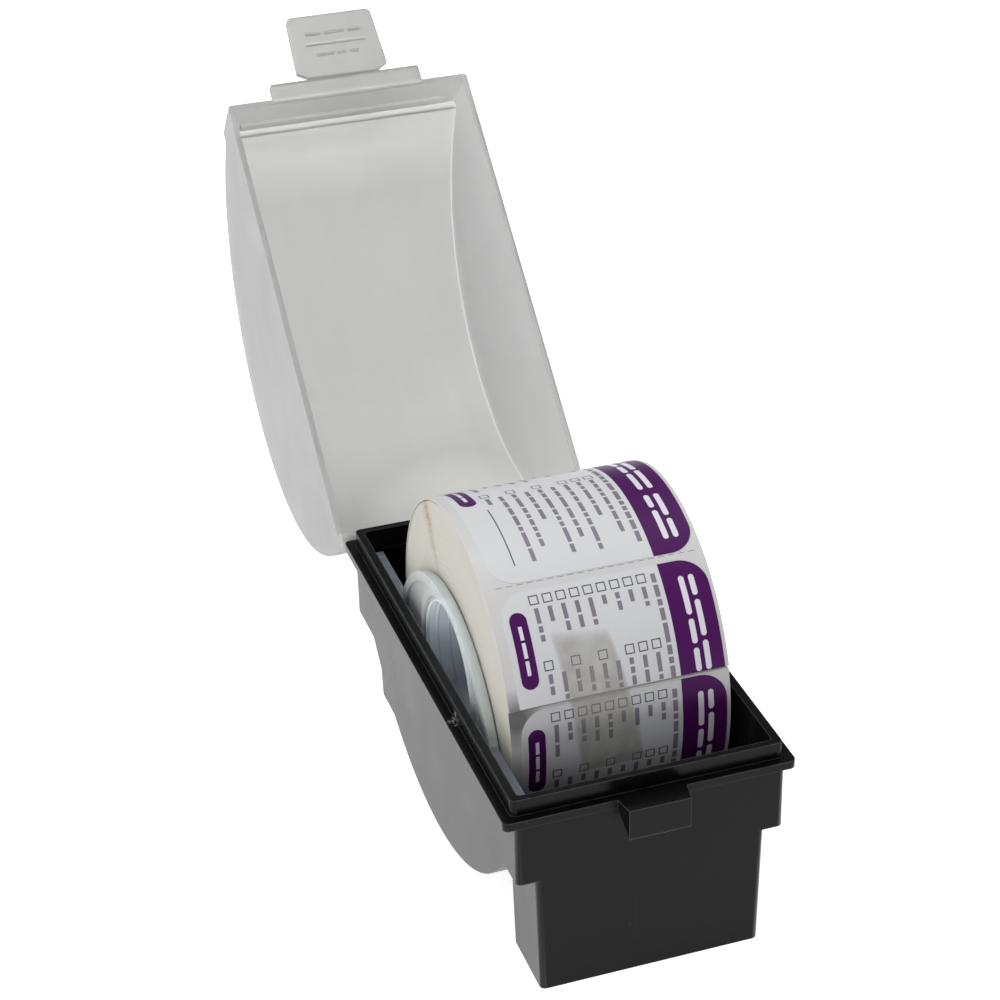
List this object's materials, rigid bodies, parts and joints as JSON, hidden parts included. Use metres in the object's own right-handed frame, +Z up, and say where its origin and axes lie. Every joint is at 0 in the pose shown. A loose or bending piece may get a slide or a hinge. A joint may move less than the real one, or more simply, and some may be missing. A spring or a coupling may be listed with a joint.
{
  "type": "label dispenser machine",
  "caption": "Desk dispenser for a roll of food labels: black footed tray with a round belly, roll on side cheeks, and a translucent domed flip lid with a latch tongue.",
  "frame": {"origin": "on the ground under the middle of the whole machine's box, lid open as at rest", "axes": "+Z up; -Y towards the front, where the catch lug is; +X across the machine, to the right when it is seen from its front"},
  "size_m": [0.071, 0.2624, 0.1505],
  "materials": {
    "black_plastic": "satin black moulding",
    "lid_plastic": "milky translucent moulding",
    "cheek_plastic": "cool milky translucent moulding",
    "card": "matt grey-brown card",
    "wound_paper": "edges of wound paper",
    "liner_paper": "smooth release paper",
    "label_print": "smooth printed paper, white and purple"
  },
  "bodies": {
    "tray": {"base_tray": "black_plastic", "cheek_left": "cheek_plastic", "cheek_right": "cheek_plastic"},
    "roll": {"roll_core": "card", "wound_labels": "wound_paper", "outer_liner": "liner_paper", "label_1": "label_print", "label_2": "label_print", "label_3": "label_print", "label_4": "label_print", "label_5": "label_print"},
    "lid": {"lid_shell": "lid_plastic", "hinge_pin_left": "lid_plastic", "hinge_pin_right": "lid_plastic"},
    "latch": {"latch_tongue": "lid_plastic"}
  },
  "joints": [
    {"name": "lid_hinge", "type": "hinge", "parent": "tray", "child": "lid", "pos_m": [0, 0.00787, 0.0476], "axis": [1, 0, 0], "range_deg": [0, 139]},
    {"name": "roll_spin", "type": "hinge", "parent": "tray", "child": "roll", "pos_m": [0, -0.06323, 0.0498], "axis": [1, 0, 0], "continuous": true},
    {"name": "tongue_fold", "type": "hinge", "parent": "lid", "child": "latch", "pos_m": [0, 0.11591, 0.13701], "axis": [1, 0, 0], "range_deg": [0, 90]}
  ]
}
